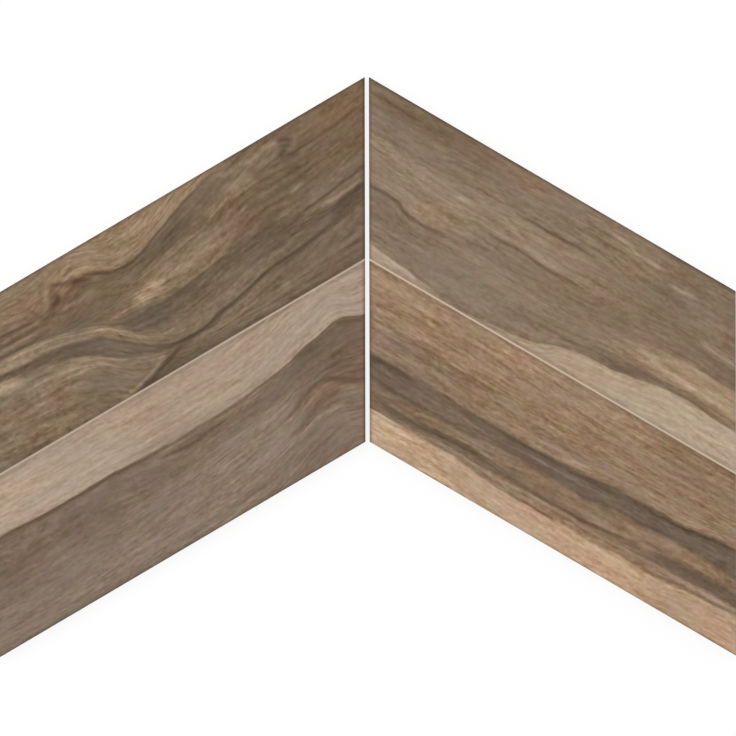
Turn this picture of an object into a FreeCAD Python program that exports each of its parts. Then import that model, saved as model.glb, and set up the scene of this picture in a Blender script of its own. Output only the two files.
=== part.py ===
import FreeCAD, Part
import os

import Sketcher

# One unit of a chevron wall covering: a left-hand and a right-hand porcelain tile that meet in a V.
# Each tile is one pressed and fired plate, scored along its middle so that it looks like two planks.
# Millimetres. The tiles lie face up on Z = 0, X = 0 is the middle of the joint, +Y is the V's point.

SIZES = (
    ("plank_width", 100.0, "one plank across its grain, half of a tile"),
    ("plank_length", 270.0, "long edge of a tile, along the grain"),
    ("slope_angle", 30.4, "fall of the long edges away from the V's point, degrees"),
    ("thickness", 9.0, "back to face"),
    ("joint_gap", 2.7, "open joint between the two tiles"),
    ("face_bevel", 0.7, "arris taken off round the face"),
    ("score_mouth", 1.6, "score line between the planks, width at the face"),
    ("score_floor", 0.4, "score line, width at its bottom"),
    ("score_depth", 0.6, "score line, depth"),
    ("key_width", 12.0, "keying recess on the back, across"),
    ("key_pitch", 20.0, "one keying recess to the next"),
    ("key_depth", 0.5, "keying recess, depth"),
    ("key_margin", 24.0, "plain border round the keyed back"),
)

# Lengths that follow from the sizes. A tile's short ends are upright, so they are longer than it is wide.
COS = "cos(Sizes.slope_angle)"
RUN = f"Sizes.plank_length * {COS}"
DROP = "Sizes.plank_length * sin(Sizes.slope_angle)"
END_SIDE = f"2 * Sizes.plank_width / {COS}"
POINT_Y = f"({END_SIDE} + {DROP}) / 2"

KEY_COUNT = (
    "floor((2 * (Sizes.plank_width - Sizes.key_margin) + Sizes.key_pitch - Sizes.key_width)"
    " / Sizes.key_pitch)"
)
KEY_BAND = f"(({KEY_COUNT} - 1) * Sizes.key_pitch + Sizes.key_width)"
KEY_RUN = f"{RUN} - 2 * Sizes.key_margin"
KEY_DROP = f"({KEY_RUN}) * tan(Sizes.slope_angle)"
KEY_TOP = (
    f"{POINT_Y} - Sizes.key_margin * tan(Sizes.slope_angle)"
    f" - (Sizes.plank_width - {KEY_BAND} / 2) / {COS}"
)
KEY_END = f"Sizes.key_width / {COS}"

LEFT, RIGHT = -1, 1
FACE_UP = FreeCAD.Vector(0, 0, 1)


def make_sheet(document):
    """Put the driving dimensions in a sheet, one named cell each."""
    sheet = document.addObject("Spreadsheet::Sheet", "Sizes")
    for row, (name, value, note) in enumerate(SIZES, start=1):
        sheet.set(f"A{row}", name)
        sheet.set(f"B{row}", str(value))
        sheet.setAlias(f"B{row}", name)
        sheet.set(f"C{row}", note)
    document.recompute()
    return sheet


def new_sketch(body, name, plane_role):
    """Add a sketch on one of the body's own origin planes."""
    plane = next(item for item in body.Origin.OriginFeatures if item.Role == plane_role)
    sketch = body.newObject("Sketcher::SketchObject", name)
    sketch.AttachmentSupport = (plane, "")
    sketch.MapMode = "FlatFace"
    return sketch


def add_loop(sketch, points):
    """Draw a closed loop of straight lines through rough points, which the dimensions then set."""
    count = len(points)
    for index in range(count):
        start = FreeCAD.Vector(*points[index], 0)
        end = FreeCAD.Vector(*points[(index + 1) % count], 0)
        sketch.addGeometry(Part.LineSegment(start, end), False)
    for index in range(count):
        sketch.addConstraint(Sketcher.Constraint("Coincident", index, 2, (index + 1) % count, 1))


def dimension(sketch, name, kind, first, second, length):
    """Add a named dimension between two points, each (line, end), bound to an expression."""
    index = sketch.addConstraint(Sketcher.Constraint(kind, *first, *second, 1.0))
    sketch.renameConstraint(index, name)
    sketch.setExpression(f"Constraints.{name}", length)


def draw_slanted_strip(sketch, hand, start, run, drop, top, end_side):
    """Draw a parallelogram with upright ends that falls away from the joint.

    Lines: 0 upper long edge, 1 outer end, 2 lower long edge, 3 inner end.
    """
    root, inner_top, outer_top, inner_bottom = (-1, 1), (0, 1), (0, 2), (3, 1)
    rough = ((10, 90), (110, 40), (110, 10), (10, 60))
    add_loop(sketch, [(hand * x, y) for x, y in rough])
    for end in (1, 3):
        sketch.addConstraint(Sketcher.Constraint("Vertical", end))
    sketch.addConstraint(Sketcher.Constraint("Parallel", 0, 2))

    def across(name, near, far, length):
        ends = (near, far) if hand == RIGHT else (far, near)
        dimension(sketch, name, "DistanceX", *ends, length)

    if start is None:
        sketch.addConstraint(Sketcher.Constraint("PointOnObject", 0, 1, -2))
    else:
        across("start", root, inner_top, start)
    across("run", inner_top, outer_top, run)
    dimension(sketch, "drop", "DistanceY", outer_top, inner_top, drop)
    dimension(sketch, "end_side", "DistanceY", inner_bottom, inner_top, end_side)
    dimension(sketch, "top", "DistanceY", root, inner_top, top)


def draw_score_section(sketch):
    """Draw the score line's section where it meets the joint: a mouth in the face and a narrower floor.

    Lines: 0 mouth, 1 far flank, 2 floor, 3 near flank.
    """
    root, mouth_near, mouth_far, floor_far, floor_near = (-1, 1), (0, 1), (0, 2), (2, 1), (2, 2)
    add_loop(sketch, ((60, 9), (64, 9), (63, 8), (61, 8)))
    for level in (0, 2):
        sketch.addConstraint(Sketcher.Constraint("Horizontal", level))
    flank = f"(Sizes.score_mouth - Sizes.score_floor) / 2 / {COS}"
    dimension(sketch, "mouth", "DistanceX", mouth_near, mouth_far, f"Sizes.score_mouth / {COS}")
    dimension(sketch, "near_flank", "DistanceX", mouth_near, floor_near, flank)
    dimension(sketch, "far_flank", "DistanceX", floor_far, mouth_far, flank)
    dimension(sketch, "depth", "DistanceY", floor_far, mouth_far, "Sizes.score_depth")
    dimension(sketch, "level", "DistanceY", root, mouth_near, "Sizes.thickness")
    dimension(sketch, "near", "DistanceX", root, mouth_near, f"({DROP} - Sizes.score_mouth / {COS}) / 2")


def face_of(shape, normal):
    """Name the flat face that looks along a direction."""
    for index, face in enumerate(shape.Faces, start=1):
        if face.normalAt(0, 0).isEqual(normal, 1e-6):
            return f"Face{index}"
    raise RuntimeError("no face looks along the given direction")


def check_cut(feature, before):
    """Stop if a cut has taken nothing off the piece."""
    if not 0 < feature.Shape.Volume < before.Shape.Volume:
        raise RuntimeError(f"{feature.Label} has cut nothing")


def make_tile(document, label, hand):
    """Build one hand of the pair, with its inner end on its own X = 0, and set it beside the joint."""
    body = document.addObject("PartDesign::Body", label)
    body.Label = label
    body.setExpression("Placement.Base.x", f"{hand} * Sizes.joint_gap / 2")

    outline = new_sketch(body, f"{label}_outline", "XY_Plane")
    draw_slanted_strip(outline, hand, None, RUN, DROP, POINT_Y, END_SIDE)
    plate = body.newObject("PartDesign::Pad", f"{label}_plate")
    plate.Profile = outline
    plate.setExpression("Length", "Sizes.thickness")
    document.recompute()

    bevel = body.newObject("PartDesign::Chamfer", f"{label}_bevel")
    bevel.Base = (plate, [face_of(plate.Shape, FACE_UP)])
    bevel.setExpression("Size", "Sizes.face_bevel")
    document.recompute()
    check_cut(bevel, plate)

    section = new_sketch(body, f"{label}_score_section", "YZ_Plane")
    draw_score_section(section)
    score = body.newObject("PartDesign::Pocket", f"{label}_score")
    score.Profile = section
    score.ReferenceAxis = (outline, ["Edge1"])
    score.AlongSketchNormal = False
    score.Reversed = True
    score.setExpression("Length", "2 * Sizes.plank_length")
    document.recompute()
    check_cut(score, bevel)

    recess = new_sketch(body, f"{label}_key_recess", "XY_Plane")
    draw_slanted_strip(recess, hand, "Sizes.key_margin", KEY_RUN, KEY_DROP, KEY_TOP, KEY_END)
    key = body.newObject("PartDesign::Pocket", f"{label}_key")
    key.Profile = recess
    key.Reversed = True
    key.setExpression("Length", "Sizes.key_depth")
    document.recompute()
    check_cut(key, score)

    keys = body.newObject("PartDesign::LinearPattern", f"{label}_keys")
    keys.Originals = [key]
    keys.Direction = (recess, ["V_Axis"])
    keys.Reversed = True
    keys.Mode = "Spacing"
    keys.setExpression("Offset", f"Sizes.key_pitch / {COS}")
    keys.setExpression("Occurrences", KEY_COUNT)
    body.Tip = keys
    document.recompute()
    check_cut(keys, key)
    return body


def check_document(document, tiles):
    """Stop on a failed feature or a bad solid before anything is written."""
    for item in document.Objects:
        if "Invalid" in item.State or "Error" in item.State:
            raise RuntimeError(f"{item.Label} failed: {item.State}")
    for tile in tiles:
        shape = tile.Shape
        if shape.isNull() or not shape.isValid() or len(shape.Solids) != 1:
            raise RuntimeError(f"{tile.Label} is not one valid solid")


def main():
    document = FreeCAD.newDocument("chevron_tile")
    make_sheet(document)
    tiles = [make_tile(document, "left_tile", LEFT), make_tile(document, "right_tile", RIGHT)]
    document.recompute()
    check_document(document, tiles)
    os.makedirs("parts", exist_ok=True)
    for tile in tiles:
        tile.Shape.exportStep(f"parts/{tile.Label}.step")
        print(tile.Label, tile.Shape.BoundBox, "volume", round(tile.Shape.Volume, 1))


main()
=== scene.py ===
import math
from collections import namedtuple

import bpy
import numpy as np
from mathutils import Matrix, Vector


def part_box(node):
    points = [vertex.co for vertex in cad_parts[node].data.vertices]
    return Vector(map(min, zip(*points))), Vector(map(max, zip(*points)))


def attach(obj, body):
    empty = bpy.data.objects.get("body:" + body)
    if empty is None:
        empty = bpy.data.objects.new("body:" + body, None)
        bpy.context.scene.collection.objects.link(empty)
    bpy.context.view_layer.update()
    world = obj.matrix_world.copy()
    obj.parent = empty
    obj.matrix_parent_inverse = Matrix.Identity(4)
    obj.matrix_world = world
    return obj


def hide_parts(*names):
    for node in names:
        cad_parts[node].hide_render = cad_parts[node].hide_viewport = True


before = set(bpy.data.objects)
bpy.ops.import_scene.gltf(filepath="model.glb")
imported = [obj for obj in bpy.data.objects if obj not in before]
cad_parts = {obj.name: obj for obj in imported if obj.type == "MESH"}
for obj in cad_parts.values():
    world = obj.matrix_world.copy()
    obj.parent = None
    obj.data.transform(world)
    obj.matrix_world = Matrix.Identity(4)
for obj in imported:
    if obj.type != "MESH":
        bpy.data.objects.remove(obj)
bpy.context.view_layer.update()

# Plate sizes. Lengths in this part are millimetres, as on a tile drawing; MM takes them to metres.
MM = 0.001
SLOPE = math.radians(30.4)
FACE_BEVEL = 0.7
SCORE_MOUTH, SCORE_FLOOR, SCORE_DEPTH = 1.6, 0.4, 0.6
KEY_WIDTH, KEY_PITCH, KEY_DEPTH, KEY_MARGIN = 12.0, 20.0, 0.5, 24.0
COS, TAN = math.cos(SLOPE), math.tan(SLOPE)
LEFT, RIGHT = -1, 1
ROUNDING = 1e-6

tile_low, tile_high = (np.array(corner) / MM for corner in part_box("right_tile"))
HALF_GAP = tile_low[0]
RUN = tile_high[0] - tile_low[0]
POINT_Y = tile_high[1]
THICKNESS = tile_high[2]
END_SIDE = tile_high[1] - tile_low[1] - RUN * TAN
MIDDLE = END_SIDE / 2
PLANK_WIDTH = MIDDLE * COS
LEAN = PLANK_WIDTH * TAN
PLANK_LENGTH = RUN / COS
PLANK_REACH = PLANK_LENGTH + LEAN

# The face's mesh has so many columns along a plate and rows on each plank. Pores are sunk into it. They
# fade out beside the bevel and the score, and open and reach their floor at these values of the noise.
FACE_COLUMNS, FACE_ROWS = 262, 172
RELIEF_DEPTH, RELIEF_FADE = 0.10, 1.0
PORE_OPENS, PORE_FLOOR = 0.55, 0.3

# Green and blue of warm wood as shares of its red, and what greying it adds to each.
WARM_GREEN, WARM_BLUE = 0.82, 0.65
GREYED_GREEN, GREYED_BLUE = 0.085, 0.155

# The glaze sends a little white light back over the print, so the print is mixed that much darker.
GLAZE_SPECULAR, GLAZE_LIFT = 0.35, 0.030
DARKEST_PRINT = 0.002
GLAZE_SMOOTH, GLAZE_ROUGH = 0.42, 0.56
GLAZE_BUMP, GLAZE_BUMP_HEIGHT = 0.35, 0.12

# Streaks of the print: length and width in mm, detail, and how far they lighten or darken the wood. Each
# layer is drawn from the noise LAYER_SHIFT further on than the layer before it.
GRAIN_LAYERS = (
    (150.0, 6.0, 2.0, 0.22),
    (48.0, 3.0, 2.0, 0.32),
    (14.0, 2.1, 2.0, 0.40),
    (4.0, 1.8, 1.0, 0.30),
)
LAYER_SHIFT = 3.1
NOISE_ROUGHNESS = 0.6

# Slower streaks: length and width in mm, detail, and how far on in the noise. Two make the growth lines
# wander, by so many mm. The mottle turns the hue. The patches change how lively and how deep the wood is.
SLOW_WANDER, SLOW_WANDER_REACH = (38.0, 9.0, 2.0, 15.9), 1.8
QUICK_WANDER, QUICK_WANDER_REACH = (14.0, 4.0, 1.0, 18.4), 1.0
MOTTLE, MOTTLE_TURN = (12.0, 8.0, 1.0, 21.3), 0.025
PATCHES, PATCH_DEPTH = (40.0, 12.0, 1.0, 24.7), 0.15
CALM_PATCH, LIVELY_PATCH = 0.7, 1.3

# Dark and pale wood, by their red in linear light, and how lively each is. Light streaks lose colour.
DARK_RED, PALE_RED = 0.2, 0.45
DARK_LIVELY, PALE_LIVELY = 1.15, 0.9
LIGHT_FADES = 0.45

# Strokes cover the wood unevenly: least cover, and what each of two streak layers adds to it. Tones are
# (light, grey), as in the planks below.
LEAST_COVER, STREAK_COVER = 0.68, 0.2
PALE_COVER, RUST_COVER = 0.9, 0.75
VEIN_TONE = (31, -0.2)
RUST_WASH = (1.0, 0.70, 0.58, 1.0)

# Painted shade beside the long edge, the joint and the score's shoulders, and the score's pale line:
# where each starts and ends, in mm from the edge, and its strength.
LONG_EDGE_SHADE = (0.7, 2.6)
JOINT_EDGE_SHADE, JOINT_DARK = (0.8, 2.4), 0.35
SCORE_EDGE_SHADE, SCORE_DARK = (2.0, 3.8), 0.2
SCORE_LINE, LINE_COVER = (0.3, 0.9), 0.95
# The dark tone that the painted shade mixes into the print.
PAINTED_SHADE_TONE = (24, 0.2)

# The wood print. Each plank is read with its grain level: along runs left to right, across runs down
# from its upper edge. A grain line says where a growth line runs and how soft its edge is, and rest is
# where it would lie in straight wood. A band is the wood between two lines, from the upper edge down,
# toned as (along, light, grey): light is its red in percent, and grey goes from 0, warm, to 1. A stroke
# is one vein, knot or streak: its strength, half its width, and its points.
# Of a plank, seed is its place in the noise, lively how strong its streaks are, hue_turn how far its hue
# goes to yellow, or below 0 to red, depth how deep its colour is, pale_tone the tone of its pale strokes,
# line_light how light the score is beside it, and rim_dark how much painted shade darkens its outer long
# edge.
GrainLine = namedtuple("GrainLine", "rest edge points")
Stroke = namedtuple("Stroke", "strength half_width points")
Plank = namedtuple(
    "Plank", "name seed lively hue_turn depth pale_tone line_light rim_dark lines bands dark pale rust")


def drawn(kind, *rows):
    """Make grain lines or strokes from rows: two values each, then the points they run through."""
    return [kind(row[0], row[1], row[2:]) for row in rows]


LEFT_UPPER = Plank(
    name="left_upper_print", seed=2.0, lively=1.15, hue_turn=0.005, depth=1.02,
    pale_tone=(70, 0.5), line_light=77, rim_dark=0.45,
    lines=drawn(
        GrainLine,
        (18, 1.2, (0, 24), (45, 25), (68, 26), (85, 24), (110, 19), (118, 21), (126, 24.5), (145, 25),
            (170, 18), (182, 13), (220, 1.5), (235, -3), (330, -12)),
        (30, 2.0, (0, 38), (40, 37), (95, 39.5), (125, 37), (140, 36.5), (155, 33.5), (195, 26),
            (225, 19), (245, 18), (265, 19), (285, 17.5), (300, 16.5), (330, 12)),
        (50, 1.5, (0, 38.5), (60, 39), (95, 45.5), (105, 49), (111, 52.5), (126, 53), (136, 53.5),
            (150, 55.5), (200, 52), (225, 48.5), (245, 48), (280, 43), (330, 36)),
        (60, 2.0, (0, 39.5), (60, 39.5), (80, 43), (112, 57), (120, 65), (130, 69), (145, 70),
            (175, 66), (205, 61.5), (255, 59), (270, 59.5), (330, 52)),
        (66, 1.2, (0, 40), (32, 39), (80, 44.5), (90, 48), (108, 55), (114, 60), (120, 66.5), (145, 76),
            (160, 75), (190, 70.5), (205, 67.5), (240, 64.5), (290, 60), (330, 54)),
        (72, 1.0, (0, 44), (30, 46), (45, 47.5), (60, 48), (88, 53), (104, 60), (110, 65), (134, 82.5),
            (152, 85), (162, 84.5), (172, 82), (185, 80), (210, 74.5), (240, 72), (270, 67.5),
            (290, 62), (330, 52)),
        (79, 1.5, (0, 52), (45, 54.5), (75, 58.5), (92, 66), (98, 71), (110, 78), (118, 80.5),
            (133, 86), (142, 87), (162, 86.5), (172, 84), (185, 82), (225, 75), (240, 74), (270, 70),
            (290, 66), (330, 60)),
        (86, 1.0, (0, 62), (30, 64), (58, 65), (90, 71.5), (108, 85), (122, 90.5), (130, 90.5),
            (145, 91), (280, 86), (330, 84)),
        (94, 0.8, (0, 112), (60, 107), (115, 96.5), (133, 91.5), (145, 92.5), (160, 94), (220, 96),
            (330, 97)),
    ),
    bands=(
        ((60, 53, 0.25), (85, 53, 0.2), (110, 57, 0.2), (140, 56, 0.2), (190, 59, 0.1)),
        ((50, 46, 0.15), (95, 46, 0), (140, 44, 0.2), (173, 41, 0.05), (195, 46, 0.15), (225, 48, 0.1),
            (260, 46, 0.1), (290, 48, -0.15)),
        ((90, 45, 0.2), (115, 46, 0.15), (145, 52, 0.2), (185, 52, 0.2), (220, 47, 0), (250, 44, 0),
            (300, 46, -0.1)),
        ((110, 45, 0.3), (140, 41, 0.5), (185, 45, 0.3), (230, 40, 0.2), (262, 49, 0.3),
            (290, 48, 0.3)),
        ((115, 47, 0.3), (150, 48, 0.35), (185, 46, 0.25), (240, 42, 0.3), (285, 38, 0.3)),
        ((35, 55, 0.35), (60, 55, 0.4), (85, 53, 0.5), (112, 56, 0.25), (130, 51, 0.4), (160, 49, 0.35),
            (205, 50, 0.45), (245, 45, 0.4), (285, 38, 0.3)),
        ((40, 42, 0.15), (85, 40, 0.25), (105, 43, 0.5), (125, 41, 0.2), (150, 35, 0.3), (200, 41, 0.2),
            (260, 40, 0.2)),
        ((28, 51, 0.5), (46, 51, 0.5), (65, 50, 0.3), (100, 51, 0.3), (130, 50, 0.4), (200, 48, 0.3),
            (260, 47, 0.3)),
        ((15, 50, 0.35), (60, 52, 0.25), (85, 48, 0.35), (110, 51, 0.4), (135, 46, 0.3),
            (200, 46, 0.35), (260, 44, 0.1)),
        ((110, 38, 0.2), (140, 41, 0.25), (165, 43, 0.35), (200, 44, 0.3), (260, 42, 0.05)),
    ),
    dark=drawn(
        Stroke,
        # The vein from the knot up to the plank's edge, and the knot.
        (0.9, 0.9, (111, 17), (127, 25), (164, 19.5), (178, 14), (214, 3.5)),
        (0.75, 1.2, (89, 13), (98, 16)),
        (0.4, 1.0, (96, 15.5), (105, 17.5)),
        (1.0, 1.8, (101, 18), (112, 21.5)),
        (0.5, 1.5, (84, 19.5), (91, 15.5)),
        (1.0, 1.8, (83, 25), (86.5, 24), (91, 20.5)),
        (0.8, 1.0, (111, 17), (121, 22.5), (128, 25.5)),
        (0.5, 1.0, (93, 27.5), (97, 27.5), (102, 26.5)),
        (0.45, 1.1, (81, 29.5), (85, 31.5), (98, 32.5)),
        (0.4, 1.1, (69, 18.5), (72, 24), (75.5, 29.5)),
        (0.3, 1.2, (79, 18.5), (83, 9.5)),
        (0.25, 1.4, (65, 12), (67, 11.5), (70, 12.5)),
        (0.4, 1.6, (103, 24), (108, 24.5), (114, 26)),
        # Veins.
        (0.8, 0.9, (38, 25), (72, 27)),
        (0.6, 0.8, (36, 31), (74, 31.5)),
        (0.65, 0.9, (30, 36), (72, 38.5)),
        (0.4, 3.2, (166, 27), (175, 24), (186, 22)),
        (0.3, 1.6, (188, 20), (199, 28)),
        (0.45, 1.0, (232, 36), (254, 34)),
        (0.25, 0.9, (256, 35.5), (272, 33), (290, 32)),
        (0.5, 0.9, (160, 57.5), (200, 52), (214, 49)),
        (0.45, 1.5, (120, 60), (135, 62), (150, 61), (165, 60)),
        (0.4, 0.8, (117, 58), (145, 59), (164, 57)),
        (0.4, 1.1, (226, 58.5), (238, 57.5), (250, 55)),
        (0.35, 0.8, (176, 60), (206, 57), (218, 56.5)),
        (0.35, 0.8, (150, 33), (176, 30)),
        (0.4, 1.3, (125, 66), (145, 67.5), (172, 65.5)),
        (0.5, 1.4, (220, 49), (231, 46.5), (243, 45)),
        (0.75, 0.8, (248, 54), (264, 53), (280, 50.5), (296, 49.5)),
        (0.7, 1.0, (128, 81.5), (135, 84.5), (152, 86), (162, 85.5), (171, 83), (184, 81), (211, 75.5),
            (256, 71.5), (284, 67)),
        (0.25, 2.4, (222, 76), (246, 74.5)),
        (0.7, 1.6, (272, 60.5), (293, 58)),
        (0.4, 3.0, (268, 64), (280, 63.5), (290, 62)),
        (0.5, 1.0, (262, 19), (280, 17.5), (300, 16.5), (318, 14)),
        # The small knot.
        (0.85, 1.3, (260, 7), (268, 10.5)),
        (0.75, 1.2, (260, 11), (263, 12.5), (266, 13)),
        (0.8, 1.3, (256, 16.5), (262, 13.5)),
        (0.7, 1.2, (262, 19), (265, 19), (269, 18)),
        # Finer veins.
        (0.35, 1.2, (235, 19), (265, 20)),
        (0.4, 0.9, (250, 35), (276, 32.5)),
        (0.85, 1.3, (102, 99.5), (113, 97), (140, 89), (148, 89)),
        (0.35, 1.6, (110, 99), (116, 96.5), (121, 97.5)),
        (0.3, 1.2, (127, 88), (152, 89)),
        (0.4, 1.2, (28, 47), (40, 49), (80, 53.5), (92, 57)),
        (0.3, 0.7, (208, 87.5), (220, 86.5), (232, 86.5)),
        (0.3, 0.7, (205, 84), (234, 82.5)),
        (0.2, 1.0, (232, 3), (262, 3.5)),
        (0.3, 1.8, (168, 29.5), (198, 27)),
        (0.4, 1.5, (108, 94), (124, 92)),
        (0.35, 1.2, (44, 22), (56, 22), (68, 23)),
        (0.35, 1.4, (84, 41), (94, 42.5), (104, 45)),
    ),
    pale=drawn(
        Stroke,
        (1.0, 3.2, (132, 49.5), (150, 46)),
        (0.2, 2.5, (150, 43), (165, 43), (182, 42), (198, 42)),
        (1.0, 2.8, (14, 52.5), (26, 53), (42, 56.5)),
        (0.2, 0.9, (60, 58.5), (74, 60.5), (86, 64.5)),
        (0.3, 1.0, (38, 60.5), (50, 62.5), (75, 65.5), (85, 68.5)),
        (0.4, 0.9, (83, 64), (92, 68.5), (107, 79.5)),
        (0.45, 0.8, (72, 66.5), (84, 68.5), (93, 73), (101, 79.5)),
        (0.4, 2.0, (92, 49.5), (102, 53), (110, 58.5), (117, 65)),
        (0.8, 1.1, (92, 98), (102, 97), (122, 91.5), (128, 88)),
        (0.5, 1.0, (264, 57), (292, 55.5)),
        (0.3, 0.9, (250, 40), (260, 38.5)),
        (0.2, 1.1, (262, 15.5), (269, 14)),
        (0.35, 1.6, (82, 21), (86, 13.5)),
        (0.3, 1.0, (84, 29), (92, 30), (100, 29.5)),
        (0.5, 1.3, (36, 40), (55, 40), (86, 47.5)),
        (0.3, 2.4, (216, 17), (236, 19)),
        (0.25, 1.4, (198, 25), (215, 23), (236, 23)),
        (0.3, 1.6, (210, 6), (224, 8), (244, 8), (260, 9)),
        (0.45, 1.2, (249, 6), (260, 7)),
        (0.3, 2.5, (150, 7), (165, 9), (180, 7)),
        (0.35, 1.9, (105, 15), (109, 14.5), (113, 15.5)),
        (0.45, 0.9, (91, 11), (100, 13)),
        (0.3, 0.8, (38, 28.5), (54, 28.5), (70, 29.5)),
        (0.3, 0.8, (36, 34), (52, 34), (68, 35)),
        (0.3, 1.4, (64, 69), (90, 72)),
        (0.12, 1.5, (108, 50), (124, 50.5)),
        (0.12, 1.4, (232, 51), (250, 49.5)),
    ),
    rust=drawn(
        Stroke,
        (0.9, 2.4, (82, 26), (87, 21), (92, 14)),
        (1.0, 2.6, (99, 18), (114, 21.5)),
        (0.7, 1.4, (111, 17.5), (117, 20), (124, 24)),
        (0.6, 1.2, (56, 27), (72, 27)),
        (0.45, 8.0, (50, 18), (68, 18), (84, 16), (100, 12)),
        (0.3, 4.0, (48, 21), (72, 21)),
        (0.45, 4.5, (60, 32), (78, 35), (100, 33)),
        (0.4, 3.0, (209, 42), (216, 42), (222, 41)),
        (0.3, 5.0, (10, 72), (22, 73), (33, 75)),
        (0.3, 4.0, (105, 46), (115, 50), (120, 55)),
        (0.3, 5.0, (45, 80), (58, 78), (72, 82)),
        (0.4, 4.0, (270, 11), (290, 12), (315, 11)),
        (0.25, 3.0, (232, 6), (246, 5.5), (258, 6)),
        (0.4, 1.4, (262, 18), (285, 17.5), (318, 15)),
        (0.3, 4.0, (246, 93), (256, 94), (268, 92)),
    ),
)

LEFT_LOWER = Plank(
    name="left_lower_print", seed=23.0, lively=0.8, hue_turn=-0.003, depth=0.98,
    pale_tone=(69, 0.95), line_light=77, rim_dark=0.2,
    lines=drawn(
        GrainLine,
        (36, 0.8, (0, 32.5), (90, 36), (115, 35.5), (150, 37), (245, 33), (258, 30.5), (265, 28.5),
            (278, 26.5), (296, 24), (310, 29.5), (330, 31)),
        (42, 1.0, (0, 37), (60, 39), (120, 39), (158, 43.5), (215, 41.5), (250, 35.5), (262, 32),
            (278, 29.5), (296, 27.5), (310, 32), (330, 34)),
        (52, 4.0, (0, 60), (60, 62), (150, 58), (240, 48.5), (270, 43), (300, 47), (330, 52)),
        (64, 3.0, (0, 74), (50, 75), (110, 72), (140, 69), (170, 67), (240, 57), (268, 50), (280, 51),
            (295, 55), (330, 62)),
        (76, 3.0, (0, 86), (50, 87), (100, 85), (190, 78), (215, 75), (235, 70.5), (263, 63),
            (275, 63.5), (290, 68), (330, 78)),
        (88, 3.0, (0, 95), (60, 96), (120, 94), (225, 82), (240, 77), (268, 73.5), (280, 77), (300, 84),
            (330, 92)),
    ),
    bands=(
        ((55, 69, 0.65), (120, 67, 0.75), (170, 66, 0.55), (220, 67, 0.65), (270, 66, 0.7),
            (315, 66, 0.7)),
        ((45, 46, 0.15), (120, 49, 0.35), (180, 54, 0.45), (235, 54, 0.4), (270, 45, 0.3),
            (300, 46, 0.2)),
        ((45, 48, 0.4), (100, 48, 0.45), (150, 49, 0.45), (200, 49, 0.4), (245, 48, 0.4),
            (270, 44, 0.3), (295, 46, 0.2)),
        ((40, 50, 0.6), (150, 52, 0.55), (200, 54, 0.55), (232, 54, 0.6), (262, 48, 0.4),
            (285, 48, 0.1)),
        ((40, 52, 0.65), (110, 52, 0.6), (160, 54, 0.6), (215, 55, 0.65), (262, 51, 0.3),
            (285, 47, 0.05)),
        ((40, 53, 0.6), (110, 54, 0.7), (160, 54, 0.65), (215, 55, 0.7), (262, 50, 0.25),
            (285, 52, 0.45)),
        ((20, 50, 0.7), (100, 50, 0.6), (160, 52, 0.65), (240, 50, 0.5), (268, 52, 0.45)),
    ),
    dark=drawn(
        Stroke,
        (0.7, 0.9, (24, 33.5), (90, 37), (112, 36.5), (130, 37.5), (160, 38.5)),
        (0.7, 1.0, (152, 43.5), (164, 44.5), (206, 42.5)),
        (0.4, 0.8, (160, 38.5), (220, 37), (250, 33.5)),
        (0.2, 2.6, (125, 34), (200, 34.5), (245, 31)),
        (0.4, 2.5, (256, 33), (266, 31), (276, 32)),
        (0.4, 2.0, (74, 47), (82, 47), (92, 48)),
        (0.55, 1.5, (243, 58), (263, 52), (272, 54), (278, 58)),
        (0.3, 1.6, (270, 47.5), (282, 48), (294, 50)),
        (0.55, 1.5, (240, 70), (264, 63.5), (276, 65)),
        (0.4, 1.0, (231, 73), (244, 70)),
        (0.5, 1.6, (272, 56), (288, 64)),
        (0.6, 1.4, (278, 43.5), (282, 42), (286, 43)),
        (0.4, 1.2, (274, 49), (284, 47)),
        (0.3, 0.9, (92, 73.5), (152, 68)),
        (0.25, 0.9, (98, 57), (140, 59.5)),
        (0.25, 0.9, (40, 55), (52, 54), (64, 54.5)),
        (0.25, 1.0, (186, 74), (205, 71), (222, 67)),
        (0.3, 1.2, (226, 90), (256, 86)),
        (0.45, 1.6, (292, 26), (300, 29), (310, 31)),
        (0.3, 1.2, (268, 76), (276, 79), (284, 80)),
        (0.35, 1.2, (160, 43), (192, 41)),
        (0.35, 1.2, (266, 51), (288, 51.5)),
        (0.3, 1.2, (290, 42), (297, 42), (304, 43)),
    ),
    pale=drawn(
        Stroke,
        (0.6, 3.2, (62, 28), (85, 29), (120, 28), (150, 30)),
        (0.3, 2.5, (175, 28), (188, 28), (200, 27)),
        (0.5, 2.5, (228, 24), (280, 17)),
        (0.4, 2.5, (280, 20), (295, 18), (312, 20)),
        (0.25, 1.2, (192, 57), (202, 56), (212, 57)),
        (0.25, 1.2, (216, 58), (242, 54)),
        (0.25, 1.2, (218, 68), (230, 66), (240, 63)),
        (0.2, 1.2, (222, 79), (248, 73)),
        (0.2, 2.0, (98, 86), (112, 87), (124, 86)),
        (0.4, 1.2, (250, 72.5), (260, 71.5), (270, 72)),
        (0.25, 1.3, (90, 41), (101, 41), (114, 40)),
        (0.25, 1.3, (182, 69), (206, 67)),
    ),
    rust=drawn(
        Stroke,
        (0.28, 3.0, (250, 60), (262, 59), (276, 60)),
        (0.5, 4.0, (276, 54), (284, 57), (292, 58)),
        (0.3, 2.0, (254, 65), (264, 64), (272, 65)),
        (0.2, 3.0, (35, 60), (48, 59), (60, 60)),
        (0.3, 3.0, (296, 33), (303, 34), (308, 33)),
        (0.15, 5.0, (144, 14), (158, 14), (172, 12)),
        (0.15, 4.0, (200, 11), (228, 9)),
    ),
)

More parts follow.
